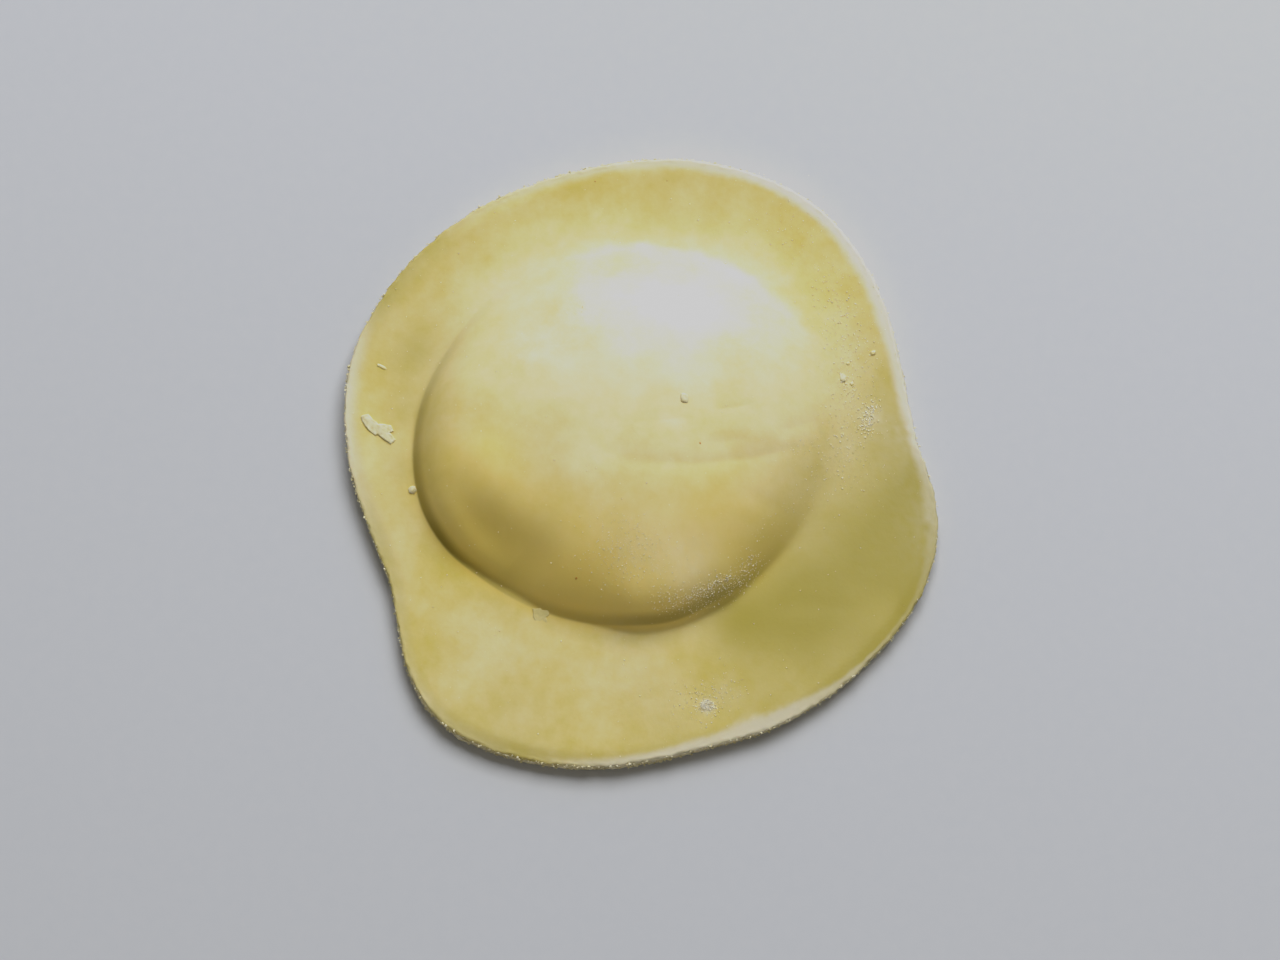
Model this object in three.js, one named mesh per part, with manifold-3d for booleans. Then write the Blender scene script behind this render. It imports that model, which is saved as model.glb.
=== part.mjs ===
// A round filled pasta parcel, fresh and uncooked: two thin sheets of egg dough, pressed together into a
// wide, unevenly cut rim round a low dome. A torn strip of dough and a few crumbs are stuck to the upper sheet.
// Millimetres and degrees, +Z up. The parcel rests on z = 0, and the origin is under the middle of its
// outline. Places in the plan are given from the dome's centre, and angles run round it anticlockwise from
// +X, seen from above.

import * as THREE from "three";
import { mergeVertices } from "three/addons/utils/BufferGeometryUtils.js";
import Module from "manifold-3d";

// The two sheets.
const SHEET_THICKNESS = 1.0;
const SEAM_GAP = 0.12;
const RESTING_SHARE = 0.35; // share of the rim, from the dome's foot outwards, that lies flat on the table
const DOME_CENTRE = [-1.76, 2.35]; // the dome's centre, from the middle of the outline

// The cut outline, as [angle, reach].
const RIM_REACH = [
  [0, 32.15], [14, 31.55], [32, 32.85], [50, 33.85], [69, 33.0], [102, 30.8], [140, 31.05], [165, 31.4],
  [185, 30.45], [201, 29.8], [212, 30.35], [220, 32.3], [228, 35.15], [236, 37.1], [244, 37.6], [262, 36.85],
  [283, 35.55], [297, 36.05], [315, 36.5], [332, 36.85], [344, 35.75],
];
// How far the lower sheet stands out past the upper one.
const LOWER_SHEET_SHOWS = [[20, -0.2], [85, 0.2], [150, -0.1], [200, -0.1], [240, 0.1], [275, 0.05], [315, -0.1]];
// How far the cut edge curls up from the table.
const EDGE_CURL = [[10, 0.3], [60, 0.6], [120, 0.5], [170, 0.9], [195, 0.6], [215, 0.3], [250, 0.15], [300, 0.2]];
// A soft lip along the cut edge, where the cutter has pinched the dough. Below zero it is a slope down to the cut.
const LIP_WIDTH = 1.9;
const LIP_HEIGHT = [
  [0, 0.0], [45, 0.0], [90, -0.15], [140, -0.3], [165, -0.1], [200, -0.2], [230, -0.1], [255, -0.3],
  [280, -0.1], [315, -0.3], [335, -0.3],
];

// The dome: how high it stands above the rim, how much of its fall is a gentle crown, its foot, how full its
// shoulder is, and how wide the soft bend is where the flank runs out into the rim.
const DOME_RISE = 8.2;
const CROWN_SHARE = 0.4;
const MEAN_FOOT = 22.3;
const FOOT_REACH = [
  [20, 23.4], [75, 22.0], [115, 21.4], [150, 21.6], [176, 22.9], [198, 23.55], [212, 23.15], [226, 22.1],
  [242, 21.45], [264, 21.05], [284, 21.3], [300, 20.95], [318, 21.4], [345, 21.9],
];
const SHOULDER_FULLNESS = [
  [15, 3.6], [60, 3.2], [105, 3.2], [140, 4.4], [178, 12], [215, 11], [250, 6], [290, 4.8], [330, 5.2],
];
const FOOT_SOFTNESS = [
  [0, 3.4], [25, 4.0], [60, 2.8], [110, 2.2], [145, 1.8], [170, 1.2], [195, 0.35], [250, 0.25], [295, 0.3],
  [320, 0.9], [340, 1.9],
];

// Long soft swellings of the dome, as the filling presses against the sheet. One of negative height is a dent.
const SWELLINGS = [
  { from: [-14.0, -11.9], to: [-11.4, -14.6], height: -1.8, halfWidth: 3.9 },
  { from: [-15.4, -4.2], to: [-12.9, -9.4], height: 0.5, halfWidth: 2.7 },
  { from: [1.9, -20.0], to: [10.4, -18.1], height: 1.5, halfWidth: 3.8 },
];

// The cut edge in section, from a sheet's underside to its upper face, as [inset from the cut, level], where the
// level is 0 on the underside and 1 on the upper face.
const UPPER_CUT = [[0.12, 0], [0, 0.16], [0, 0.6], [0.06, 0.82], [0.2, 0.96], [0.6, 1]];
const LOWER_CUT = [[0.14, 0], [0, 0.2], [0, 0.75], [0.12, 1]];

// How deep a scrap of dough is pressed into the sheet that it lies on, and how far to each side of its middle the
// sheet's slope is taken.
const SCRAP_SINK = 0.15;
const LEAN_REACH = 0.8;

// How finely the solids are divided.
const SPOKES = 96;
const DOME_STATIONS = [0.14, 0.28, 0.42, 0.54, 0.65, 0.75, 0.83, 0.9, 0.95, 0.98, 1];
const RIM_STATIONS = [1.05, 1.12, 1.24, 1.4, 1.6, 1.78, 1.88];
const UNDERSIDE_STATIONS = [0.5, 1, 1.35, 1.6, 1.8];

const dough = new THREE.MeshStandardMaterial({ color: 0xcabb74, roughness: 0.55, metalness: 0 });
const lowerDough = new THREE.MeshStandardMaterial({ color: 0xd0c592, roughness: 0.7, metalness: 0 });

const wasm = await Module();
wasm.setup();

// A smooth closed rule through [angle, value] pairs that stand in order round the circle.
function roundRule(pairs) {
  const count = pairs.length;
  const angleOf = (i) => pairs[THREE.MathUtils.euclideanModulo(i, count)][0] + 360 * Math.floor(i / count);
  const valueOf = (i) => pairs[THREE.MathUtils.euclideanModulo(i, count)][1];
  const slopeOf = (i) => (valueOf(i + 1) - valueOf(i - 1)) / (angleOf(i + 1) - angleOf(i - 1));
  return (angle) => {
    const turned = angleOf(0) + THREE.MathUtils.euclideanModulo(angle - angleOf(0), 360);
    let i = 0;
    while (angleOf(i + 1) <= turned) {
      i += 1;
    }
    const span = angleOf(i + 1) - angleOf(i);
    const t = (turned - angleOf(i)) / span;
    const fromValues = valueOf(i) + (valueOf(i + 1) - valueOf(i)) * t * t * (3 - 2 * t);
    const fromSlopes = slopeOf(i) * t * (1 - t) ** 2 - slopeOf(i + 1) * t * t * (1 - t);
    return fromValues + fromSlopes * span;
  };
}

const rimReach = roundRule(RIM_REACH);
const lowerSheetShows = roundRule(LOWER_SHEET_SHOWS);
const edgeCurl = roundRule(EDGE_CURL);
const lipHeight = roundRule(LIP_HEIGHT);
const footReach = roundRule(FOOT_REACH);
const shoulderFullness = roundRule(SHOULDER_FULLNESS);
const footSoftness = roundRule(FOOT_SOFTNESS);

// Where a point of the plan lies: its angle, its distance from the dome's centre, and its share of the way
// from the dome's foot to the cut edge.
function placeInPlan(x, y) {
  const angle = THREE.MathUtils.radToDeg(Math.atan2(y, x));
  const distance = Math.hypot(x, y);
  const foot = footReach(angle);
  const rimShare = (distance - foot) / (rimReach(angle) - foot);
  return { angle, distance, foot, rimShare };
}

// How far the sheets are lifted off the table: nothing under the dome, most at the cut edge.
function liftAt(x, y) {
  const { angle, rimShare } = placeInPlan(x, y);
  const t = Math.max(0, (rimShare - RESTING_SHARE) / (1 - RESTING_SHARE));
  return Math.max(0, edgeCurl(angle)) * t * t;
}

// Height of a rounded hump of the given size at a distance from its middle line.
function hump(distance, halfWidth) {
  return Math.exp(-((distance / halfWidth) ** 2));
}

function distanceToSegment(x, y, from, to) {
  const start = new THREE.Vector2(...from);
  const along = new THREE.Vector2(...to).sub(start);
  const point = new THREE.Vector2(x, y).sub(start);
  const t = THREE.MathUtils.clamp(point.dot(along) / along.lengthSq(), 0, 1);
  return point.distanceTo(along.multiplyScalar(t));
}

// The dome's height above the rim: a full bun, met by the flat rim in a bend of the foot's softness. Towards its
// middle it is evenly round, and only further out does it follow the uneven foot.
function domeHeight(x, y) {
  const { angle, distance, foot } = placeInPlan(x, y);
  const footShare = THREE.MathUtils.smoothstep(distance / foot, 0.2, 0.8);
  const way = distance / THREE.MathUtils.lerp(MEAN_FOOT, foot, footShare);
  const crown = CROWN_SHARE * way ** 2;
  const shoulder = (1 - CROWN_SHARE) * way ** shoulderFullness(angle);
  let bun = DOME_RISE * (1 - crown - shoulder);
  for (const { from, to, height, halfWidth } of SWELLINGS) {
    bun += height * hump(distanceToSegment(x, y, from, to), halfWidth);
  }
  return (bun + Math.hypot(bun, footSoftness(angle) * footShare)) / 2;
}

// The lip's height, which rises over its width and is rounded off by the cut.
function lipAt(x, y) {
  const { angle, distance } = placeInPlan(x, y);
  const t = THREE.MathUtils.clamp(1 - (rimReach(angle) - distance) / LIP_WIDTH, 0, 1);
  return lipHeight(angle) * t * t * (3 - 2 * t);
}

const seamHeight = (x, y) => liftAt(x, y) + SHEET_THICKNESS;
const upperUnderside = (x, y) => seamHeight(x, y) + SEAM_GAP;
const upperFace = (x, y) => upperUnderside(x, y) + SHEET_THICKNESS + domeHeight(x, y) + lipAt(x, y);

// A sheet's section is a row of rings, from the underside's middle out round the cut edge and back over the
// top. A ring's station is 0 at the dome's centre, 1 at its foot and 2 at the cut edge.
function sheetSection(cut, upperStations) {
  const inner = { station: 0, inset: 0 };
  const ring = (level) => (station) => ({ station, inset: 0, level });
  return [
    { ...inner, level: 0 },
    ...UNDERSIDE_STATIONS.map(ring(0)),
    ...cut.map(([inset, level]) => ({ station: 2, inset, level })),
    ...[...upperStations].reverse().map(ring(1)),
    { ...inner, level: 1 },
  ];
}

// A sheet: its section is turned round the middle, and then each point is moved to its real place in the
// plan, between the sheet's lower and upper face.
function sheet(section, overhang, lowerFaceAt, upperFaceAt) {
  const profile = section.map(({ station, level }) => new THREE.Vector2(station, level));
  const geometry = new THREE.LatheGeometry(profile, SPOKES);
  const position = geometry.attributes.position;
  for (let i = 0; i < position.count; i += 1) {
    const { station, inset, level } = section[i % section.length];
    const spoke = Math.floor(i / section.length) % SPOKES;
    const angle = (spoke * 360) / SPOKES - 90;
    const turn = THREE.MathUtils.degToRad(angle);
    const foot = footReach(angle);
    const edge = rimReach(angle) + overhang(angle) - inset;
    const reach = station < 1 ? station * foot : foot + (station - 1) * (edge - foot);
    const x = reach * Math.cos(turn);
    const y = reach * Math.sin(turn);
    position.setXYZ(i, x, y, THREE.MathUtils.lerp(lowerFaceAt(x, y), upperFaceAt(x, y), level));
  }
  return geometry;
}

// A closed solid from a geometry: its doubled points are merged first.
function solidOf(geometry) {
  const bare = geometry.index ? geometry.toNonIndexed() : geometry.clone();
  bare.deleteAttribute("normal");
  bare.deleteAttribute("uv");
  const merged = mergeVertices(bare, 1e-4);
  const corners = merged.index.array;
  const kept = [];
  for (let i = 0; i < corners.length; i += 3) {
    const [a, b, c] = [corners[i], corners[i + 1], corners[i + 2]];
    if (a !== b && b !== c && c !== a) {
      kept.push(a, b, c);
    }
  }
  const vertProperties = new Float32Array(merged.attributes.position.array);
  return new wasm.Manifold(new wasm.Mesh({ numProp: 3, vertProperties, triVerts: new Uint32Array(kept) }));
}

function geometryOf(solid) {
  const mesh = solid.getMesh();
  const geometry = new THREE.BufferGeometry();
  geometry.setAttribute("position", new THREE.BufferAttribute(mesh.vertProperties, 3));
  geometry.setIndex(new THREE.BufferAttribute(mesh.triVerts, 1));
  geometry.computeVertexNormals();
  return geometry;
}

// The turn that lays a thing flat on the upper sheet at a place in the plan.
function leanOf(x, y) {
  const eastward = (upperFace(x + LEAN_REACH, y) - upperFace(x - LEAN_REACH, y)) / (2 * LEAN_REACH);
  const northward = (upperFace(x, y + LEAN_REACH) - upperFace(x, y - LEAN_REACH)) / (2 * LEAN_REACH);
  const normal = new THREE.Vector3(-eastward, -northward, 1).normalize();
  return new THREE.Quaternion().setFromUnitVectors(new THREE.Vector3(0, 0, 1), normal);
}

// A scrap of dough is laid on the upper sheet at a place in the plan, sunk into it so that it holds.
function setOnSheet(geometry, [x, y], turnDegrees) {
  geometry.rotateZ(THREE.MathUtils.degToRad(turnDegrees));
  geometry.computeBoundingBox();
  geometry.translate(0, 0, -geometry.boundingBox.min.z - SCRAP_SINK);
  geometry.applyQuaternion(leanOf(x, y));
  geometry.translate(x, y, upperFace(x, y));
  return solidOf(geometry);
}

// The torn strip of dough on the left of the rim: ragged, and forked at its right end.
function tornStrip() {
  const outline = new THREE.Shape([
    new THREE.Vector2(-1.95, 1.3),
    new THREE.Vector2(-1.15, 1.5),
    new THREE.Vector2(0.05, 0.5),
    new THREE.Vector2(1.4, 0.4),
    new THREE.Vector2(1.7, -0.3),
    new THREE.Vector2(1.35, -0.55),
    new THREE.Vector2(1.9, -1.3),
    new THREE.Vector2(1.3, -1.7),
    new THREE.Vector2(-0.15, -0.8),
    new THREE.Vector2(-1.35, 0.0),
    new THREE.Vector2(-1.9, 0.9),
  ]);
  return new THREE.ExtrudeGeometry(outline, { depth: 0.55, bevelEnabled: false, steps: 1 });
}

// A crumb, flake or sliver: a small uneven lump of the given length, width and height.
function crumb(length, width, height) {
  const geometry = new THREE.DodecahedronGeometry(0.5, 0);
  geometry.scale(length, width, height);
  return geometry;
}

const SCRAPS = [
  { make: tornStrip, at: [-27.1, 1.0], turn: 0 },
  { make: () => crumb(1.3, 0.5, 0.5), at: [-26.8, 8.0], turn: -28 },
  { make: () => crumb(0.9, 0.9, 0.8), at: [-23.3, -5.95], turn: 0 },
  { make: () => crumb(1.7, 1.8, 0.5), at: [-9.1, -20.0], turn: 25 },
  { make: () => crumb(1.1, 0.85, 0.7), at: [6.5, 2.6], turn: -70 },
  { make: () => crumb(0.85, 1.0, 0.7), at: [24.0, 6.4], turn: 20 },
  { make: () => crumb(1.5, 1.0, 0.45), at: [8.9, -29.9], turn: 5 },
];

function upperSheet() {
  const section = sheetSection(UPPER_CUT, [...DOME_STATIONS, ...RIM_STATIONS]);
  let solid = solidOf(sheet(section, () => 0, upperUnderside, upperFace));
  for (const scrap of SCRAPS) {
    solid = solid.add(setOnSheet(scrap.make(), scrap.at, scrap.turn));
  }
  return geometryOf(solid);
}

function lowerSheet() {
  const section = sheetSection(LOWER_CUT, UNDERSIDE_STATIONS);
  return geometryOf(solidOf(sheet(section, lowerSheetShows, liftAt, seamHeight)));
}

const group = new THREE.Group();
for (const [name, geometry, material] of [
  ["upper_sheet", upperSheet(), dough],
  ["lower_sheet", lowerSheet(), lowerDough],
]) {
  const mesh = new THREE.Mesh(geometry, material);
  mesh.name = name;
  mesh.position.set(...DOME_CENTRE, 0);
  group.add(mesh);
}

export default group;
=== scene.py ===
"""A round filled pasta parcel, fresh and uncooked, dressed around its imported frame.

Two thin sheets of egg dough are pressed together into a wide, unevenly cut rim round a low dome. The fine sheets
made here follow the same rules as the frame's solids, and add what is too fine for those: the folds and dents of
the dough, the crumbly floury cut, the scraps and crumbs stuck to it, grains of flour and specks of bran.

Sizes are millimetres and degrees, and meshes are turned to metres once, when they are finished. Places in the plan
are given from the dome's centre, and angles run round it anticlockwise from +X, seen from above.
"""

import logging
import math
import random
from collections.abc import Iterable
from dataclasses import dataclass
from enum import Enum

import bmesh
import bpy
import numpy as np
from mathutils import Matrix, Vector, noise


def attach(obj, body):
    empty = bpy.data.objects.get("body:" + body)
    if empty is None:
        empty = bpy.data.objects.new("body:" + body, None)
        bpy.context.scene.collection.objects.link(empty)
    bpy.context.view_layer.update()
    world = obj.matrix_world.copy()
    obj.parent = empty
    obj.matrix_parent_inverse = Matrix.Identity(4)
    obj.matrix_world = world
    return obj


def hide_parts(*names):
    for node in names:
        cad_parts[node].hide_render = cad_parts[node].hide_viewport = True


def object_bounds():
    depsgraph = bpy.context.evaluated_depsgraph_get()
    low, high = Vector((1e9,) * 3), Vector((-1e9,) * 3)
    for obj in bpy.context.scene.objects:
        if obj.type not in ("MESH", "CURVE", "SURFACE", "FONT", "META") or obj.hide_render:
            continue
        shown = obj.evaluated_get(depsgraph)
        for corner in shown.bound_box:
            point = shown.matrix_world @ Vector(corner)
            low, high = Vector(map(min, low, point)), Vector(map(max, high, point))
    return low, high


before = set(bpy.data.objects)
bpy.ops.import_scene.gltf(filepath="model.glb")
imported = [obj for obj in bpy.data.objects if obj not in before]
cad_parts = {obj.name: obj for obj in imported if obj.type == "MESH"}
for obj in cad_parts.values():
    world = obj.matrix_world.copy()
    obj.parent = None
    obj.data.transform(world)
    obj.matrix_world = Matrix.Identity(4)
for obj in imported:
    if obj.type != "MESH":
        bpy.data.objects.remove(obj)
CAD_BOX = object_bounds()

log = logging.getLogger("parcel")

MM = 0.001
BODY = "root"
DOME_CENTRE = (-1.76, 2.35)  # the dome's centre, from the middle of the outline


class Slot(Enum):
    """The record's material slots that a piece can take its finish from."""

    DOUGH = "dough"
    FLOURED_DOUGH = "floured_dough"


class Node(Enum):
    """The frame's solids that the pieces stand for."""

    UPPER_SHEET = "upper_sheet"
    LOWER_SHEET = "lower_sheet"


# ---------------------------------------------------------------------------------------------------------------
# Rules of the form
# ---------------------------------------------------------------------------------------------------------------


class RoundRule:
    """A smooth closed rule round the parcel, led through a few values at given angles."""

    def __init__(self, *pairs: tuple[float, float]) -> None:
        """Keeps the rule's angles, values and slopes.

        Args:
            pairs: Angle and value, in order round the circle.
        """
        count = len(pairs)
        turns = np.repeat([-360.0, 0.0, 360.0], count)
        self.angles = np.tile([angle for angle, _ in pairs], 3) + turns
        self.values = np.tile([value for _, value in pairs], 3)
        self.slopes = np.zeros(3 * count)
        rise = self.values[2:] - self.values[:-2]
        self.slopes[1:-1] = rise / (self.angles[2:] - self.angles[:-2])

    def __call__(self, angle: np.ndarray) -> np.ndarray:
        """Value of the rule at each angle.

        Args:
            angle: Angles in degrees, of any turn.

        Returns:
            The values, as many as the angles.
        """
        turned = np.mod(angle, 360.0)
        i = np.searchsorted(self.angles, turned, side="right") - 1
        span = self.angles[i + 1] - self.angles[i]
        t = (turned - self.angles[i]) / span
        from_values = self.values[i] + (self.values[i + 1] - self.values[i]) * t * t * (3 - 2 * t)
        from_slopes = self.slopes[i] * t * (1 - t) ** 2 - self.slopes[i + 1] * t * t * (1 - t)
        return from_values + from_slopes * span


def smooth_step(value: np.ndarray, low: float, high: float) -> np.ndarray:
    """Rises softly from 0 at low to 1 at high."""
    t = np.clip((value - low) / (high - low), 0.0, 1.0)
    return t * t * (3 - 2 * t)


def hump(distance: np.ndarray, half_width: float) -> np.ndarray:
    """Height of a rounded hump of height 1 at a distance from its middle line."""
    return np.exp(-((distance / half_width) ** 2))


def along_path(x: np.ndarray, y: np.ndarray, path: tuple[tuple[float, float], ...]) -> tuple[np.ndarray, np.ndarray]:
    """Where points of the plan lie beside a path.

    Args:
        x: Places from left to right.
        y: Places from front to back.
        path: Corners of the path.

    Returns:
        The distance to the path, and the share of its length at the nearest place.
    """
    corners = np.array(path, float)
    lengths = np.hypot(*np.diff(corners, axis=0).T)
    nearest = np.full(x.shape, np.inf)
    share = np.zeros(x.shape)
    walked = 0.0
    for start, end, length in zip(corners, corners[1:], lengths):
        step = (end - start) / length
        t = np.clip((x - start[0]) * step[0] + (y - start[1]) * step[1], 0.0, length)
        distance = np.hypot(x - start[0] - t * step[0], y - start[1] - t * step[1])
        closer = distance < nearest
        nearest = np.where(closer, distance, nearest)
        share = np.where(closer, (walked + t) / lengths.sum(), share)
        walked += length
    return nearest, share


def cloud(places: np.ndarray, size: float, octaves: int = 2, shift: float = 0.0) -> np.ndarray:
    """Soft uneven noise, about -1 to 1.

    Args:
        places: Points in millimetres, one a row.
        size: Width of its largest patches, in millimetres.
        octaves: How many finer layers are laid over them.
        shift: Moves the pattern, so that two uses differ.

    Returns:
        One value for each point.
    """
    scaled = places / size + shift
    return np.array([noise.fractal(Vector(place), 1.0, 2.0, octaves) for place in scaled.tolist()])


@dataclass(frozen=True)
class Fold:
    """A shallow fold in the dough: sharp along its bottom line, or round, and fading at its ends."""

    path: tuple[tuple[float, float], ...]
    depth: float
    half_width: float
    sharp: bool = True
    rounding_share: float = 0.12

    def depth_at(self, x: np.ndarray, y: np.ndarray) -> np.ndarray:
        """Depth of the fold below the smooth surface at places of the plan."""
        distance, share = along_path(x, y, self.path)
        fade = np.sqrt(np.sin(np.pi * np.clip(share, 0.0, 1.0)).clip(0.0))
        if not self.sharp:
            return self.depth * fade * hump(distance, self.half_width)
        rounding = self.rounding_share * self.half_width
        fall = (np.hypot(distance, rounding) - rounding) / self.half_width
        return self.depth * fade * np.exp(-fall)


@dataclass(frozen=True)
class Swelling:
    """A long soft swelling of the dome over the filling, or a dent if its height is negative."""

    start: tuple[float, float]
    end: tuple[float, float]
    height: float
    half_width: float

    def height_at(self, x: np.ndarray, y: np.ndarray) -> np.ndarray:
        """Height that the swelling adds at places of the plan."""
        distance, _ = along_path(x, y, (self.start, self.end))
        return self.height * hump(distance, self.half_width)


@dataclass(frozen=True)
class ParcelForm:
    """The parcel's form, as the frame's solids have it, with the fine relief of the dough on top."""

    sheet_thickness: float = 1.0
    seam_gap: float = 0.12
    resting_share: float = 0.35
    rim_reach: RoundRule = RoundRule(
        (0, 32.15), (14, 31.55), (32, 32.85), (50, 33.85), (69, 33.0), (102, 30.8), (140, 31.05), (165, 31.4),
        (185, 30.45), (201, 29.8), (212, 30.35), (220, 32.3), (228, 35.15), (236, 37.1), (244, 37.6), (262, 36.85),
        (283, 35.55), (297, 36.05), (315, 36.5), (332, 36.85), (344, 35.75),
    )
    lower_sheet_shows: RoundRule = RoundRule(
        (20, -0.2), (85, 0.2), (150, -0.1), (200, -0.1), (240, 0.1), (275, 0.05), (315, -0.1)
    )
    edge_curl: RoundRule = RoundRule(
        (10, 0.3), (60, 0.6), (120, 0.5), (170, 0.9), (195, 0.6), (215, 0.3), (250, 0.15), (300, 0.2)
    )
    lip_width: float = 1.9
    lip_height: RoundRule = RoundRule(
        (0, 0.0), (45, 0.0), (90, -0.15), (140, -0.3), (165, -0.1), (200, -0.2), (230, -0.1), (255, -0.3),
        (280, -0.1), (315, -0.3), (335, -0.3),
    )
    dome_rise: float = 8.2
    crown_share: float = 0.4
    even_crown: tuple[float, float] = (0.2, 0.8)  # the crown is evenly round up to here, and follows the foot past it
    mean_foot: float = 22.3
    foot_reach: RoundRule = RoundRule(
        (20, 23.4), (75, 22.0), (115, 21.4), (150, 21.6), (176, 22.9), (198, 23.55), (212, 23.15), (226, 22.1),
        (242, 21.45), (264, 21.05), (284, 21.3), (300, 20.95), (318, 21.4), (345, 21.9),
    )
    shoulder_fullness: RoundRule = RoundRule(
        (15, 3.6), (60, 3.2), (105, 3.2), (140, 4.4), (178, 12), (215, 11), (250, 6), (290, 4.8), (330, 5.2)
    )
    foot_softness: RoundRule = RoundRule(
        (0, 3.4), (25, 4.0), (60, 2.8), (110, 2.2), (145, 1.8), (170, 1.2), (195, 0.35), (250, 0.25), (295, 0.3),
        (320, 0.9), (340, 1.9),
    )
    swellings: tuple[Swelling, ...] = (
        Swelling((-14.0, -11.9), (-11.4, -14.6), -1.8, 3.9),
        Swelling((-15.4, -4.2), (-12.9, -9.4), 0.5, 2.7),
        Swelling((1.9, -20.0), (10.4, -18.1), 1.5, 3.8),
    )
    folds: tuple[Fold, ...] = (
        Fold(((-20.0, -5.2), (-18.4, -7.5), (-16.5, -10.1), (-14.3, -12.5), (-12.2, -14.4)), 0.22, 1.6, sharp=False),
        Fold(((-2.6, -3.2), (0.6, -4.3), (4.4, -4.6), (8.2, -4.5), (14.1, -3.6), (20.8, -1.4)), 0.28, 1.4),
        Fold(((1.3, -0.1), (3.9, 0.1), (7.1, 0.6)), 0.1, 1.1),
        Fold(((9.5, 1.4), (12.1, 1.8), (14.3, 2.4)), 0.12, 1.0),
        Fold(((8.2, -2.3), (10.6, -2.1), (13.1, -1.5)), 0.1, 0.9),
        Fold(((16.4, -0.7), (19.1, 0.4), (21.2, 1.3)), 0.16, 1.2),
        Fold(((11.8, -7.6), (14.6, -8.0), (17.6, -9.0)), 0.08, 1.1, sharp=False),
        Fold(((24.9, -17.9), (25.0, -15.8), (25.7, -14.6), (27.5, -14.6)), 0.05, 0.5),
        Fold(((31.4, -9.6), (33.2, -11.0), (35.0, -11.6)), 0.05, 0.5),
        Fold(((14.8, -18.9), (19.1, -18.7), (26.8, -19.1)), 0.06, 0.9, sharp=False),
    )
    unevenness: float = 0.05
    unevenness_size: float = 9.0

    def place(self, x: np.ndarray, y: np.ndarray) -> tuple[np.ndarray, np.ndarray, np.ndarray]:
        """Angle of each point, its distance from the dome's centre, and the dome's foot there."""
        angle = np.degrees(np.arctan2(y, x))
        return angle, np.hypot(x, y), self.foot_reach(angle)

    def lift(self, x: np.ndarray, y: np.ndarray) -> np.ndarray:
        """How far the sheets are lifted off the table: nothing under the dome, most at the cut edge."""
        angle, distance, foot = self.place(x, y)
        rim_share = (distance - foot) / (self.rim_reach(angle) - foot)
        t = np.clip((rim_share - self.resting_share) / (1 - self.resting_share), 0.0, None)
        return np.clip(self.edge_curl(angle), 0.0, None) * t * t

    def dome(self, x: np.ndarray, y: np.ndarray) -> np.ndarray:
        """Height of the dome above the rim: a full bun, evenly round towards its middle, met by the flat rim."""
        angle, distance, foot = self.place(x, y)
        foot_share = smooth_step(distance / foot, *self.even_crown)
        way = distance / (self.mean_foot + (foot - self.mean_foot) * foot_share)
        crown = self.crown_share * way**2
        shoulder = (1 - self.crown_share) * way ** self.shoulder_fullness(angle)
        bun = self.dome_rise * (1 - crown - shoulder) + sum(each.height_at(x, y) for each in self.swellings)
        return (bun + np.hypot(bun, self.foot_softness(angle) * foot_share)) / 2

    def lip(self, x: np.ndarray, y: np.ndarray) -> np.ndarray:
        """Height of the lip along the cut edge, below zero where the cutter has pressed it down."""
        angle, distance, _ = self.place(x, y)
        return self.lip_height(angle) * smooth_step(self.rim_reach(angle) - distance, self.lip_width, 0.0)

    def relief(self, x: np.ndarray, y: np.ndarray) -> np.ndarray:
        """Fine relief that the solids leave out: folds, and the broad unevenness of rolled dough."""
        height = -sum(fold.depth_at(x, y) for fold in self.folds)
        places = np.column_stack([x, y, np.zeros_like(x)])
        return height + self.unevenness * cloud(places, self.unevenness_size)

    def seam(self, x: np.ndarray, y: np.ndarray) -> np.ndarray:
        """Height of the lower sheet's upper face."""
        return self.lift(x, y) + self.sheet_thickness

    def upper_underside(self, x: np.ndarray, y: np.ndarray) -> np.ndarray:
        """Height of the upper sheet's underside."""
        return self.seam(x, y) + self.seam_gap

    def upper_face(self, x: np.ndarray, y: np.ndarray) -> np.ndarray:
        """Height of the surface that shows from above."""
        smooth = self.upper_underside(x, y) + self.sheet_thickness + self.dome(x, y) + self.lip(x, y)
        return smooth + self.relief(x, y)

    def height_at(self, x: float, y: float) -> float:
        """Height of the surface at one place of the plan."""
        return float(self.upper_face(np.array([x]), np.array([y]))[0])

    def lean_at(self, x: float, y: float, reach: float = 0.15) -> Matrix:
        """The turn that lays a thing flat on the surface at one place of the plan.

        Args:
            x: Place from left to right.
            y: Place from front to back.
            reach: Half the distance over which the slope is taken.

        Returns:
            A turn that takes +Z to the surface's normal.
        """
        xs = np.array([x + reach, x - reach, x, x])
        ys = np.array([y, y, y + reach, y - reach])
        east, west, north, south = self.upper_face(xs, ys)
        normal = Vector(((west - east) / (2 * reach), (south - north) / (2 * reach), 1.0))
        return Vector((0, 0, 1)).rotation_difference(normal).to_matrix().to_4x4()


# ---------------------------------------------------------------------------------------------------------------
# Finishes
# ---------------------------------------------------------------------------------------------------------------


def linear(colour: str) -> tuple[float, float, float, float]:
    """Turns an sRGB hex colour to the linear values that shaders take."""
    shares = [int(colour[i : i + 2], 16) / 255 for i in (1, 3, 5)]
    turned = [share / 12.92 if share <= 0.04045 else ((share + 0.055) / 1.055) ** 2.4 for share in shares]
    return (*turned, 1.0)


def add_node(tree: bpy.types.NodeTree, kind: str, inputs: dict | None = None, **settings: object) -> bpy.types.Node:
    """Adds a node with its settings and links.

    Args:
        tree: The material's node tree.
        kind: The node's type.
        inputs: For each input, by name or number, a value or the output that feeds it.
        settings: The node's own options.

    Returns:
        The new node.
    """
    node = tree.nodes.new(kind)
    for name, value in settings.items():
        setattr(node, name, value)
    for key, value in (inputs or {}).items():
        if isinstance(value, bpy.types.NodeSocket):
            tree.links.new(value, node.inputs[key])
        else:
            node.inputs[key].default_value = value
    return node


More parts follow.
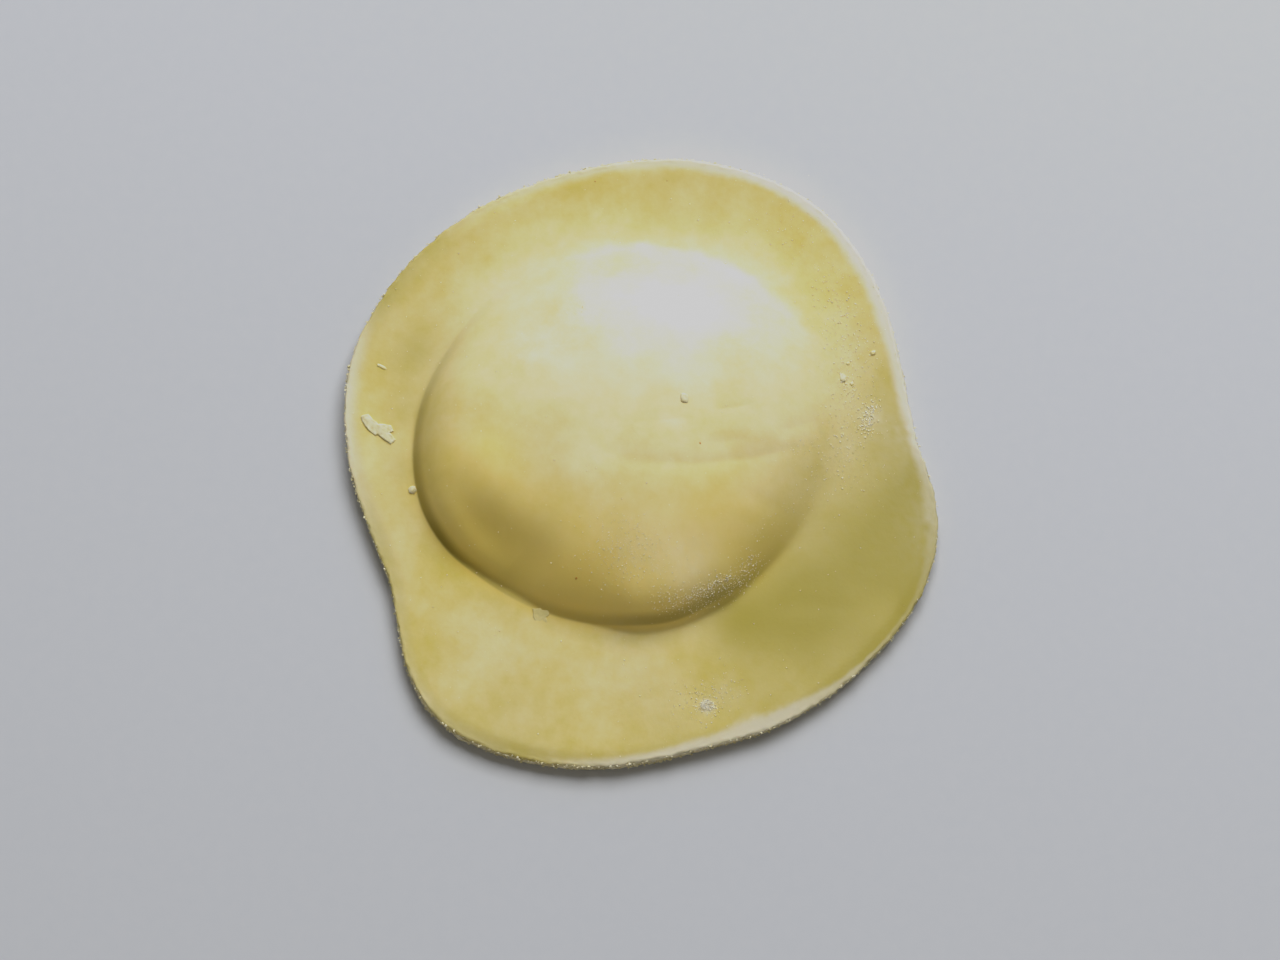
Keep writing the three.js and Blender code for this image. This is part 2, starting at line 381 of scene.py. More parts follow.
MIX_A, MIX_B, MIX_RESULT = 6, 7, 2  # a Mix node's sockets for colours


def per_metre(size_mm: float) -> float:
    """The scale of a pattern whose features have the given size in millimetres."""
    return 1 / (size_mm * MM)


def new_material(name: str) -> tuple[bpy.types.Material, bpy.types.Node, bpy.types.NodeSocket]:
    """Starts a material.

    Args:
        name: The material's name.

    Returns:
        The material, its shader, and the coordinates of the piece that wears it.
    """
    material = bpy.data.materials.new(name)
    material.use_nodes = True
    tree = material.node_tree
    return material, tree.nodes["Principled BSDF"], add_node(tree, "ShaderNodeTexCoord").outputs["Object"]


@dataclass(frozen=True)
class FreshEggDough:
    """Fresh egg pasta dough, rolled thin: pale yolk yellow in soft clouds, floury white where it was cut."""

    name: str = "fresh_egg_pasta_dough"
    yolk: str = "#d0bc49"
    # Paler dough, and over the dome partly painted light where the sheen whitens it.
    pale: str = "#f8e9bc"
    # Painted orange glow of the flank that lies in shade.
    shade_glow: str = "#f3d66c"
    # Darker yellow, partly painted shade.
    deep_and_shade: str = "#b4a43e"
    # Painted shade of the bend at the dome's foot.
    painted_foot_shade: str = "#776a1e"
    flour: str = "#e6e1d2"
    cloud_size: float = 7.0
    fleck_size: float = 1.6
    grain_size: float = 0.45
    grain_depth: float = 0.012
    roughness: float = 0.42
    dry_roughness: float = 0.8

    def material(self) -> bpy.types.Material:
        """Builds the dough's material, which reads the attributes pale, shade_glow, deep_and_shade,
        painted_foot_shade, floury and dry.
        """
        material, shader, place = new_material(self.name)
        tree = material.node_tree
        # Clouds: the dough is never quite evenly kneaded, so its yellow drifts over several millimetres.
        clouds = add_node(
            tree, "ShaderNodeTexNoise",
            {"Vector": place, "Scale": per_metre(self.cloud_size), "Detail": 4.0, "Roughness": 0.55},
        )
        flecks = add_node(
            tree, "ShaderNodeTexNoise",
            {"Vector": place, "Scale": per_metre(self.fleck_size), "Detail": 3.0, "Roughness": 0.6},
        )
        drift = add_node(
            tree, "ShaderNodeMapRange",
            {"Value": clouds.outputs["Fac"], "From Min": 0.36, "From Max": 0.64, "To Min": -0.15, "To Max": 0.15},
        )
        speckle = add_node(
            tree, "ShaderNodeMapRange",
            {"Value": flecks.outputs["Fac"], "From Min": 0.3, "From Max": 0.7, "To Min": -0.08, "To Max": 0.08},
        )
        # Paleness: paler dough, and over the dome partly painted light, whitened where the sheen lies and on its lit
        # front.
        pale = add_node(tree, "ShaderNodeAttribute", attribute_name="pale")
        uneven = add_node(
            tree, "ShaderNodeMath", {0: drift.outputs["Result"], 1: speckle.outputs["Result"]}, operation="ADD"
        )
        paleness = add_node(
            tree, "ShaderNodeMath", {0: uneven.outputs[0], 1: pale.outputs["Fac"]}, operation="ADD", use_clamp=True
        )
        tone = add_node(
            tree, "ShaderNodeMix",
            {"Factor": paleness.outputs[0], MIX_A: linear(self.yolk), MIX_B: linear(self.pale)}, data_type="RGBA",
        )
        # Shade glow: painted shade, an orange glow on the dome's flank where it turns from the window, for light that
        # has gone through the dough.
        # Darker patches: a darker yellow, partly where the sheet is bare of flour and partly painted shade, over the
        # rim's dim lower right and on edges that turn from the light.
        # Foot shade: painted shade, darker along the bend at the dome's foot, where the crease lies in shade.
        # Flour: it clings to the cut edge and lies in thin patches, on top of all the rest.
        shares = {}
        for name, colour in (("shade_glow", self.shade_glow), ("deep_and_shade", self.deep_and_shade), ("painted_foot_shade", self.painted_foot_shade), ("floury", self.flour)):
            shares[name] = add_node(tree, "ShaderNodeAttribute", attribute_name=name).outputs["Fac"]
            under = tone.outputs[MIX_RESULT]
            tone = add_node(
                tree, "ShaderNodeMix", {"Factor": shares[name], MIX_A: under, MIX_B: linear(colour)},
                data_type="RGBA",
            )
        tree.links.new(tone.outputs[MIX_RESULT], shader.inputs["Base Color"])
        # Sheen: moist dough is satin over the filling, and flour and dry air take the shine off the rim.
        dry = add_node(tree, "ShaderNodeAttribute", attribute_name="dry")
        dull = add_node(
            tree, "ShaderNodeMath", {0: shares["floury"], 1: dry.outputs["Fac"]}, operation="ADD", use_clamp=True
        )
        rough = add_node(
            tree, "ShaderNodeMapRange",
            {"Value": dull.outputs[0], "To Min": self.roughness, "To Max": self.dry_roughness},
        )
        tree.links.new(rough.outputs["Result"], shader.inputs["Roughness"])
        # Grain: the fine semolina in the dough, drawn as coarse as it needs to be to show.
        grain = add_node(
            tree, "ShaderNodeTexNoise",
            {"Vector": place, "Scale": per_metre(self.grain_size), "Detail": 2.0, "Roughness": 0.6},
        )
        bump = add_node(
            tree, "ShaderNodeBump",
            {"Height": grain.outputs["Fac"], "Distance": self.grain_depth * MM, "Strength": 1.0},
        )
        tree.links.new(bump.outputs["Normal"], shader.inputs["Normal"])
        # Body: light goes a little way into raw dough, which softens its shadows.
        shader.inputs["Subsurface Weight"].default_value = 0.15
        shader.inputs["Subsurface Radius"].default_value = (0.5, 0.35, 0.15)
        shader.inputs["Subsurface Scale"].default_value = MM
        shader.inputs["IOR"].default_value = 1.45
        return material


@dataclass(frozen=True)
class WheatFlour:
    """Milled wheat, loose as semolina or dried into scraps of dough: chalky, dull and cream."""

    name: str
    shade: str
    light: str
    patch_size: float = 0.6
    roughness: float = 0.9

    def material(self) -> bpy.types.Material:
        """Builds the material, in two tones that change from grain to grain."""
        material, shader, place = new_material(self.name)
        tree = material.node_tree
        patches = add_node(
            tree, "ShaderNodeTexNoise", {"Vector": place, "Scale": per_metre(self.patch_size), "Detail": 3.0}
        )
        tone = add_node(
            tree, "ShaderNodeMapRange", {"Value": patches.outputs["Fac"], "From Min": 0.35, "From Max": 0.6}
        )
        colour = add_node(
            tree, "ShaderNodeMix",
            {"Factor": tone.outputs["Result"], MIX_A: linear(self.shade), MIX_B: linear(self.light)},
            data_type="RGBA",
        )
        tree.links.new(colour.outputs[MIX_RESULT], shader.inputs["Base Color"])
        bump = add_node(
            tree, "ShaderNodeBump", {"Height": patches.outputs["Fac"], "Distance": 0.05 * MM, "Strength": 0.8}
        )
        tree.links.new(bump.outputs["Normal"], shader.inputs["Normal"])
        shader.inputs["Roughness"].default_value = self.roughness
        shader.inputs["Subsurface Weight"].default_value = 0.4
        shader.inputs["Subsurface Radius"].default_value = (0.5, 0.45, 0.35)
        shader.inputs["Subsurface Scale"].default_value = MM
        return material


@dataclass(frozen=True)
class WheatBran:
    """Specks of bran and dried yolk in the dough: small, brown and dull."""

    name: str = "wheat_bran"
    dark: str = "#c08f3c"
    light: str = "#d6a04c"
    roughness: float = 0.7

    def material(self) -> bpy.types.Material:
        """Builds the bran's material."""
        material, shader, place = new_material(self.name)
        tree = material.node_tree
        tone = add_node(tree, "ShaderNodeTexNoise", {"Vector": place, "Scale": per_metre(4.0), "Detail": 1.0})
        colour = add_node(
            tree, "ShaderNodeMix",
            {"Factor": tone.outputs["Fac"], MIX_A: linear(self.dark), MIX_B: linear(self.light)}, data_type="RGBA",
        )
        tree.links.new(colour.outputs[MIX_RESULT], shader.inputs["Base Color"])
        shader.inputs["Roughness"].default_value = self.roughness
        return material


@dataclass(frozen=True)
class StudioPaper:
    """Matt studio paper: a plain pale ground with hardly any grain."""

    name: str = "matt_studio_paper"
    colour: str = "#c9cacb"
    fibre: str = "#cdcdcd"
    roughness: float = 0.9

    def material(self) -> bpy.types.Material:
        """Builds the floor's material."""
        material, shader, place = new_material(self.name)
        tree = material.node_tree
        fibres = add_node(tree, "ShaderNodeTexNoise", {"Vector": place, "Scale": per_metre(1.5), "Detail": 3.0})
        colour = add_node(
            tree, "ShaderNodeMix",
            {"Factor": fibres.outputs["Fac"], MIX_A: linear(self.colour), MIX_B: linear(self.fibre)},
            data_type="RGBA",
        )
        tree.links.new(colour.outputs[MIX_RESULT], shader.inputs["Base Color"])
        shader.inputs["Roughness"].default_value = self.roughness
        return material


# ---------------------------------------------------------------------------------------------------------------
# Making pieces
# ---------------------------------------------------------------------------------------------------------------


def read_places(mesh: bpy.types.Mesh) -> np.ndarray:
    """The mesh's points, one a row."""
    flat = np.empty(3 * len(mesh.vertices))
    mesh.vertices.foreach_get("co", flat)
    return flat.reshape(-1, 3)


def write_places(mesh: bpy.types.Mesh, places: np.ndarray) -> None:
    """Moves the mesh's points to the given places."""
    mesh.vertices.foreach_set("co", places.astype(np.float32).ravel())
    mesh.update()


def write_attribute(mesh: bpy.types.Mesh, name: str, values: np.ndarray) -> None:
    """Keeps one number for each point on the mesh, for its material to read."""
    layer = mesh.attributes.new(name, "FLOAT", "POINT")
    layer.data.foreach_set("value", values.astype(np.float32))


def mesh_from(form: bmesh.types.BMesh, name: str) -> bpy.types.Mesh:
    """Turns a finished bmesh to a smooth-shaded mesh, and frees it."""
    mesh = bpy.data.meshes.new(name)
    form.to_mesh(mesh)
    form.free()
    mesh.shade_smooth()
    return mesh


def scattered(name: str, shapes: list[Matrix], seed: int, unevenness: float = 0.12) -> bpy.types.Mesh:
    """Joins many tiny lumps into one mesh: each is a turned, stretched and uneven copy of one small ball.

    Args:
        name: The mesh's name.
        shapes: Place, turn and size of each lump.
        seed: Seed of the lumps' unevenness.
        unevenness: How far their corners stray, as a share of their width.

    Returns:
        The joined mesh, flat-shaded like broken grain.
    """
    ball = bmesh.new()
    bmesh.ops.create_icosphere(ball, subdivisions=1, radius=0.5)
    corners = np.array([v.co for v in ball.verts])
    faces = np.array([[v.index for v in face.verts] for face in ball.faces])
    ball.free()
    frames = np.array(shapes)
    strays = np.random.default_rng(seed).normal(0.0, unevenness, (len(shapes), *corners.shape))
    places = np.einsum("nij,nvj->nvi", frames[:, :3, :3], corners + strays) + frames[:, None, :3, 3]
    joined = faces + len(corners) * np.arange(len(shapes))[:, None, None]
    mesh = bpy.data.meshes.new(name)
    mesh.from_pydata(places.reshape(-1, 3).tolist(), [], joined.reshape(-1, 3).tolist())
    return mesh


def finish_piece(mesh: bpy.types.Mesh, finish: bpy.types.Material, slot: Slot, node: Node) -> bpy.types.Object:
    """Puts a finished mesh in its place and hides the frame's solid that it stands for.

    Args:
        mesh: The piece in millimetres, placed from the dome's centre.
        finish: The material that it wears.
        slot: Not used; the record's slot that it would take its finish from.
        node: The frame's solid that it stands for.

    Returns:
        The new piece, in metres, inside the frame's box.
    """
    places = read_places(mesh) + (*DOME_CENTRE, 0.0)
    low, high = (np.array(corner) for corner in CAD_BOX)
    write_places(mesh, np.clip(places * MM, low, high))
    mesh.materials.append(finish)
    piece = bpy.data.objects.new(mesh.name, mesh)
    bpy.context.scene.collection.objects.link(piece)
    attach(piece, BODY)
    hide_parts(node.value)
    log.info("%s: %d faces", piece.name, len(mesh.polygons))
    return piece


# ---------------------------------------------------------------------------------------------------------------
# The two sheets
# ---------------------------------------------------------------------------------------------------------------


@dataclass(frozen=True)
class Patch:
    """A soft patch of another tone on the dough: round its middle, and fading outwards."""

    middle: tuple[float, float]
    radius: float
    strength: float

    def strength_at(self, x: np.ndarray, y: np.ndarray) -> np.ndarray:
        """How strong the patch is at places of the plan."""
        return self.strength * hump(np.hypot(x - self.middle[0], y - self.middle[1]), self.radius)


@dataclass
class Sheet:
    """A sheet of dough: a section in nominal sizes is spun round, and then every point is set to its real place."""

    form: ParcelForm
    name: str
    slot: Slot
    node: Node
    nominal_foot: float = 22.0
    nominal_rim: float = 10.0
    true_edge: float = 2.0
    spokes: int = 180
    spoke_cuts: int = 3
    underside_rings: int = 5
    cut_rings: int = 3
    upper_rounding: float = 0.32
    lower_rounding: float = 0.12
    crumble: float = 0.14
    crumble_depth: float = 0.9

    def edge_reach(self, angle: np.ndarray) -> np.ndarray:
        """How far the sheet's cut edge is from the dome's centre."""
        return self.form.rim_reach(angle)

    def lower_face(self, x: np.ndarray, y: np.ndarray) -> np.ndarray:
        """Height of the sheet's underside."""
        raise NotImplementedError

    def upper_face(self, x: np.ndarray, y: np.ndarray) -> np.ndarray:
        """Height of the sheet's upper face."""
        raise NotImplementedError

    def upper_stations(self) -> np.ndarray:
        """Nominal radii of the rings on the upper face, from the middle outwards."""
        raise NotImplementedError

    def section(self) -> list[tuple[float, float]]:
        """The section, from the underside's middle round the cut and back over the top, as radius and height."""
        edge = self.nominal_foot + self.nominal_rim
        thickness = self.form.sheet_thickness
        underside = np.linspace(0.0, edge, self.underside_rings + 1)[:-1]
        cut = np.linspace(0.0, thickness, self.cut_rings)
        return [
            *((radius, 0.0) for radius in underside),
            *((edge, height) for height in cut),
            *((radius, thickness) for radius in self.upper_stations()[::-1]),
            (0.0, thickness),
        ]

    def spun(self) -> bpy.types.Mesh:
        """Spins the section into a closed disc, rounds its two cut corners and divides its rings finely."""
        disc = bmesh.new()
        points = [disc.verts.new((radius, 0.0, height)) for radius, height in self.section()]
        lines = [disc.edges.new(pair) for pair in zip(points, points[1:])]
        bmesh.ops.spin(
            disc, geom=points + lines, cent=(0, 0, 0), axis=(0, 0, 1), dvec=(0, 0, 0), angle=math.tau,
            steps=self.spokes, use_merge=True, use_normal_flip=False, use_duplicate=False,
        )
        bmesh.ops.remove_doubles(disc, verts=disc.verts[:], dist=1e-4)
        bmesh.ops.recalc_face_normals(disc, faces=disc.faces[:])
        edge = self.nominal_foot + self.nominal_rim
        for level, rounding, segments in (
            (self.form.sheet_thickness, self.upper_rounding, 5),
            (0.0, self.lower_rounding, 2),
        ):
            corner = [
                line for line in disc.edges
                if all(abs(v.co.z - level) < 1e-4 and abs(v.co.xy.length - edge) < 1e-3 for v in line.verts)
            ]
            bmesh.ops.bevel(
                disc, geom=corner, affect="EDGES", offset=rounding, offset_type="OFFSET", segments=segments,
                profile=0.5, material=-1, clamp_overlap=False,
            )
        rings = [line for line in disc.edges if self.runs_round(line)]
        bmesh.ops.subdivide_edges(disc, edges=rings, cuts=self.spoke_cuts, use_grid_fill=True)
        return mesh_from(disc, self.name)

    @staticmethod
    def runs_round(line: bmesh.types.BMEdge) -> bool:
        """Whether an edge of the spun disc is part of a ring, and not of a spoke."""
        start, end = (v.co for v in line.verts)
        return abs(start.z - end.z) < 1e-4 and abs(start.xy.length - end.xy.length) < 1e-3

    def settle(self, mesh: bpy.types.Mesh) -> np.ndarray:
        """Moves every point from its nominal to its real place.

        Args:
            mesh: The spun disc, which is changed.

        Returns:
            How far inside the cut edge each point lies.
        """
        places = read_places(mesh)
        angle = np.degrees(np.arctan2(places[:, 1], places[:, 0]))
        nominal = np.hypot(places[:, 0], places[:, 1])
        foot = self.form.foot_reach(angle)
        edge = self.edge_reach(angle)
        inset = np.clip(self.nominal_foot + self.nominal_rim - nominal, 0.0, self.nominal_rim)
        spare = (edge - foot) - self.nominal_rim
        inset = inset + spare * smooth_step(inset, self.true_edge, self.nominal_rim)
        on_dome = nominal < self.nominal_foot
        reach = np.where(on_dome, nominal / self.nominal_foot * foot, edge - inset)
        turn = np.radians(angle)
        level = places[:, 2] / self.form.sheet_thickness
        x, y = reach * np.cos(turn), reach * np.sin(turn)
        low, high = self.lower_face(x, y), self.upper_face(x, y)
        settled = np.column_stack([x, y, low + (high - low) * level])
        inset = edge - reach
        # The cut is crumbly: each point there is pushed in or out a little, never below the table.
        ragged = self.crumble * smooth_step(inset, self.crumble_depth, 0.1) * smooth_step(level, 0.0, 0.15)
        fine = cloud(settled, 0.5, 3)
        broad = cloud(settled, 2.4, 2, shift=7.0)
        push = ragged * (fine + 0.8 * broad - 0.4)
        settled[:, 0] += push * np.cos(turn)
        settled[:, 1] += push * np.sin(turn)
        settled[:, 2] += 0.5 * ragged * cloud(settled, 0.7, 2, shift=3.0)
        write_places(mesh, settled)
        return inset

    def flouriness(self, places: np.ndarray, inset: np.ndarray) -> np.ndarray:
        """How floury each point is, from 0 to 1."""
        raise NotImplementedError

    def paleness(self, places: np.ndarray) -> np.ndarray:
        """How much paler than the plain yolk yellow the dough is at each point."""
        raise NotImplementedError

    def painted_shade_glow(self, places: np.ndarray) -> np.ndarray:
        """How much warmer than the plain yolk yellow the painted shade glow makes the dough at each point."""
        return np.zeros(len(places))

    def deep_and_shade_share(self, places: np.ndarray) -> np.ndarray:
        """How much deeper than the plain yolk yellow the dough is at each point, partly as painted shade."""
        return np.zeros(len(places))

    def foot_shading(self, places: np.ndarray) -> np.ndarray:
        """How much painted shade darkens the dough at each point, from 0 to 1."""
        return np.zeros(len(places))

    def dryness(self, places: np.ndarray) -> np.ndarray:
        """How dull the dough has dried at each point, from 0 to 1."""
        return np.ones(len(places))

    def build(self, finish: bpy.types.Material) -> bpy.types.Object:
        """Makes the sheet and dresses it."""
        mesh = self.spun()
        inset = self.settle(mesh)
        places = read_places(mesh)
        write_attribute(mesh, "floury", np.clip(self.flouriness(places, inset), 0.0, 1.0))
        write_attribute(mesh, "pale", self.paleness(places))
        write_attribute(mesh, "shade_glow", self.painted_shade_glow(places))
        write_attribute(mesh, "deep_and_shade", np.clip(self.deep_and_shade_share(places), 0.0, 1.0))
        write_attribute(mesh, "painted_foot_shade", self.foot_shading(places))
        write_attribute(mesh, "dry", self.dryness(places))
        return finish_piece(mesh, finish, self.slot, self.node)


@dataclass
class UpperSheet(Sheet):
    """The upper sheet, with the dome in it. Its cut edge carries a broad floury band."""

    name: str = "upper_dough_sheet"
    slot: Slot = Slot.DOUGH
    node: Node = Node.UPPER_SHEET
    dome_rings: int = 56
    rim_rings: int = 42
    band_width: RoundRule = RoundRule(
        (0, 1.0), (20, 1.3), (40, 1.35), (60, 1.15), (75, 1.15), (90, 1.0), (105, 1.0), (120, 0.9), (135, 0.7),
        (150, 0.7), (165, 1.1), (180, 1.1), (195, 1.3), (210, 1.0), (240, 1.0), (255, 0.7), (265, 0.8), (275, 0.9),
        (285, 1.15), (295, 1.8), (305, 1.1), (315, 0.6), (330, 0.6), (345, 1.3),
    )
    band_strength: RoundRule = RoundRule(
        (0, 0.6), (20, 0.75), (40, 0.85), (60, 0.85), (75, 0.65), (90, 0.5), (105, 0.45), (120, 0.2), (135, 0.0),
        (150, 0.0), (165, 0.55), (180, 0.55), (195, 0.25), (210, 0.05), (225, 0.15), (240, 0.2), (255, 0.1),
        (265, 0.5), (275, 0.6), (285, 0.6), (295, 0.65), (305, 0.5), (315, 0.35), (325, 0.15), (335, 0.15),
        (345, 0.22),
    )
    band_softness: RoundRule = RoundRule((0, 0.5), (60, 0.45), (120, 0.6), (180, 0.8), (230, 0.9), (290, 0.35))
    dusted: tuple[Patch, ...] = (
        Patch((26.9, 2.2), 1.4, 0.25), Patch((24.4, -1.4), 1.5, 0.15), Patch((8.9, -29.9), 0.7, 0.9),
        Patch((10.8, -28.4), 1.8, 0.2), Patch((0.4, -14.2), 3.6, 0.16), Patch((7.6, -15.4), 3.4, 0.14),
        Patch((33.4, -8.6), 2.2, 0.15), Patch((30.5, 1.0), 3.5, 0.2), Patch((33.0, -12.5), 3.0, 0.1),
        Patch((-24.6, -27.6), 3.0, 0.1), Patch((-1.0, -24.5), 5.0, 0.13), Patch((-13.0, -22.5), 6.0, 0.11),
        Patch((24.0, -12.0), 8.0, 0.04), Patch((22.0, 8.0), 6.0, 0.12), Patch((25.0, 10.5), 4.0, 0.08),
        Patch((29.5, -3.5), 5.0, 0.08), Patch((14.0, 3.5), 4.0, 0.1), Patch((-18.5, 1.5), 4.0, 0.12),
        Patch((15.5, -4.0), 4.0, 0.08), Patch((4.0, -13.0), 3.0, 0.08),
    )
    paleness_all_over: float = 0.25
    # Pale patches: paler dough, and over the dome partly painted light, where the sheen and the lit front bulge
    # whiten it.
    pale_and_lit_patches: tuple[Patch, ...] = (
        Patch((0.0, 4.0), 15.0, 0.6), Patch((-14.9, 15.3), 6.0, 0.3), Patch((-19.0, 8.0), 4.5, 0.12),
        Patch((-3.5, 12.0), 4.0, -0.2), Patch((-0.5, 13.8), 4.0, -0.2), Patch((14.0, 10.5), 3.0, -0.18),
        Patch((-10.0, 9.7), 3.0, -0.12), Patch((-22.9, -3.5), 3.0, -0.1), Patch((-14.0, -12.0), 4.5, -0.12),
        Patch((7.0, 9.9), 2.5, 0.15), Patch((15.8, -3.8), 6.5, 0.2), Patch((20.5, 6.0), 5.0, 0.3),
        Patch((7.4, -15.0), 4.5, 0.45), Patch((-28.2, -2.6), 3.5, 0.25), Patch((-11.0, -27.0), 8.0, 0.14),
        Patch((0.0, -26.0), 5.0, 0.08), Patch((-25.0, -14.0), 5.0, 0.15), Patch((-20.0, 20.0), 6.0, -0.1),
    )
    # Painted shade glow: how strongly the flank is painted orange round the dome, most where it turns from the light.
    flank_shade_glow: RoundRule = RoundRule(
        (15, 0.0), (60, 0.0), (110, 0.0), (150, 0.0), (180, 0.35), (210, 0.8), (240, 0.9), (265, 0.95), (290, 1.0),
        (308, 0.8), (325, 0.5), (350, 0.05),
    )
    shade_glow_gaps: tuple[Patch, ...] = (Patch((7.1, -15.4), 4.0, 0.5), Patch((2.8, -16.0), 3.0, 0.2))
    shade_glow_from: tuple[float, float] = (0.3, 0.85)
    shade_glow_to: tuple[float, float] = (0.97, 1.08)
    # Painted shade along the bend at the dome's foot: its strength round the dome.
    foot_shade_strength: RoundRule = RoundRule(
        (20, 0.0), (90, 0.0), (150, 0.1), (178, 0.3), (195, 0.45), (210, 0.75), (222, 0.5), (240, 0.3), (262, 0.35),
        (280, 0.55), (298, 0.35), (318, 0.1), (335, 0.0),
    )
    foot_shade_width: float = 1.3
    rim_dryness: float = 0.7
    drying: tuple[float, float] = (0.95, 1.04)  # where the moist dome turns dry, as shares of the way to its foot
    # Darker patches: partly painted shade, the largest over the rim's dim lower right.
    deep_and_shade_patches: tuple[Patch, ...] = (
        Patch((27.0, -12.5), 9.0, 0.85), Patch((18.5, -21.0), 7.0, 0.7), Patch((12.0, -20.5), 4.0, 0.6),
        Patch((-21.5, 13.0), 5.0, 0.2), Patch((23.5, -26.0), 6.0, 0.35), Patch((34.0, -7.0), 4.5, 0.9),
        Patch((32.0, -14.5), 4.0, 0.4), Patch((28.5, 4.5), 5.5, 0.38), Patch((16.0, -30.5), 4.5, 0.3),
        Patch((25.5, -24.5), 3.5, 0.2), Patch((5.0, -31.0), 5.0, 0.2), Patch((11.0, 25.5), 6.0, 0.05),
        Patch((-7.0, -3.0), 5.0, 0.1), Patch((-12.3, -17.3), 2.5, 0.25), Patch((33.2, -10.2), 3.0, 0.4),
        Patch((-14.0, -14.5), 2.5, 0.15), Patch((14.0, -1.0), 3.5, 0.12), Patch((-19.6, 22.4), 4.0, 0.15),
        Patch((-23.5, 7.8), 3.5, 0.15), Patch((-26.3, -10.2), 4.0, 0.15), Patch((26.0, 11.0), 4.5, 0.15),
        Patch((30.0, -1.5), 5.0, 0.3), Patch((29.0, -13.0), 5.0, 0.15), Patch((23.5, -24.5), 3.0, -0.25),
        Patch((17.5, -26.5), 3.0, -0.15), Patch((19.2, -17.3), 3.5, 0.25), Patch((-12.2, -31.5), 4.5, 0.15),
        Patch((5.2, 26.0), 7.0, 0.1), Patch((2.0, -24.5), 4.0, 0.08), Patch((-23.8, 3.0), 2.6, 0.3),
        Patch((-23.0, 9.5), 3.0, 0.3), Patch((-24.2, -3.5), 2.2, 0.3),
    )
    # Darker yellow along the cut edge: painted shade where the edge turns from the light, and bare dough where it
    # carries no flour.
    edge_shade: RoundRule = RoundRule(
        (0, 0.15), (20, 0.0), (60, 0.0), (100, 0.0), (122, 0.15), (138, 0.5), (150, 0.7), (162, 0.2), (175, 0.1),
        (190, 0.4), (205, 0.5), (217, 0.4), (226, 0.05), (236, 0.2), (248, 0.4), (262, 0.25), (280, 0.25), (292, 0.1),
        (308, 0.05), (322, 0.35), (336, 0.8), (348, 0.5),
    )
    edge_shade_width: float = 1.8

    def lower_face(self, x: np.ndarray, y: np.ndarray) -> np.ndarray:
        """Height of the sheet's underside."""
        return self.form.upper_underside(x, y)

    def upper_face(self, x: np.ndarray, y: np.ndarray) -> np.ndarray:
        """Height of the sheet's upper face."""
        return self.form.upper_face(x, y)

    def upper_stations(self) -> np.ndarray:
        """Nominal radii of the rings: closer towards the dome's foot, and again towards the cut edge."""
        inner = np.linspace(0.0, 1.0, self.dome_rings + 1)[1:]
        dome = self.nominal_foot * (1.25 * inner - 0.25 * inner**4)
        outer = np.linspace(0.0, 1.0, self.rim_rings + 1)[1:]
        room = self.nominal_rim - 1.2 * self.upper_rounding
        rim = self.nominal_foot + room * (outer - 0.12 * np.sin(math.tau * outer))
        return np.concatenate([dome, rim])

    def flouriness(self, places: np.ndarray, inset: np.ndarray) -> np.ndarray:
        """How floury each point is: most along the cut edge, with patches of dust."""
        x, y = places[:, 0], places[:, 1]
        angle = np.degrees(np.arctan2(y, x))
        ragged = 1 + 0.16 * cloud(places, 3.5, 2, shift=11.0) + 0.12 * cloud(places, 0.8, 2, shift=17.0)
        way = inset / (self.band_width(angle) * ragged)
        softness = self.band_softness(angle)
        band = self.band_strength(angle) * (1 - smooth_step(way, 1 - softness, 1 + softness))
        patchy = 0.75 + 0.5 * cloud(places, 0.7, 3, shift=5.0)
        dust = sum(patch.strength_at(x, y) for patch in self.dusted) * patchy
        return np.maximum(band, 0.0) + dust

    def paleness(self, places: np.ndarray) -> np.ndarray:
        """The dome's top is the palest, and the rim is yellower, with paler patches; over the dome this is partly
        painted light, whitened where the sheen lies and on the lit bulge of its front flank.
        """
        x, y = places[:, 0], places[:, 1]
        return self.paleness_all_over + sum(patch.strength_at(x, y) for patch in self.pale_and_lit_patches)

    def painted_shade_glow(self, places: np.ndarray) -> np.ndarray:
        """Painted shade: the dome's flank glows orange where it turns from the light, except in a few gaps."""
        x, y = places[:, 0], places[:, 1]
        angle, distance, foot = self.form.place(x, y)
        way = distance / foot
        ring = smooth_step(way, *self.shade_glow_from) * (1 - smooth_step(way, *self.shade_glow_to))
        cooled = sum(patch.strength_at(x, y) for patch in self.shade_glow_gaps)
        return self.flank_shade_glow(angle) * ring * np.clip(1 - cooled, 0.0, 1.0)

    def foot_shading(self, places: np.ndarray) -> np.ndarray:
        """Painted shade in the bend at the dome's foot, in front and on the left, where the bend is sharpest."""
        angle, distance, foot = self.form.place(places[:, 0], places[:, 1])
        inside = foot - distance
        return self.foot_shade_strength(angle) * smooth_step(inside, self.foot_shade_width, 0.3) * smooth_step(inside, -0.25, 0.05)

    def dryness(self, places: np.ndarray) -> np.ndarray:
        """The rim has dried dull, and the dome is moist from its filling."""
        x, y = places[:, 0], places[:, 1]
        _, distance, foot = self.form.place(x, y)
        ragged = 0.03 * cloud(places, 3.0, 2, shift=23.0)
        return self.rim_dryness * smooth_step(distance / foot + ragged, *self.drying)

    def deep_and_shade_share(self, places: np.ndarray) -> np.ndarray:
        """The rim is deepest at its lower right, and along those parts of its edge that carry no flour; this darker
        yellow is partly painted shade, on the rim's dim lower right and on edges that turn from the light.
        """
        x, y = places[:, 0], places[:, 1]
        angle, distance, _ = self.form.place(x, y)
        edge = self.edge_shade(angle) * hump(self.edge_reach(angle) - distance, self.edge_shade_width)
        return edge + sum(patch.strength_at(x, y) for patch in self.deep_and_shade_patches)


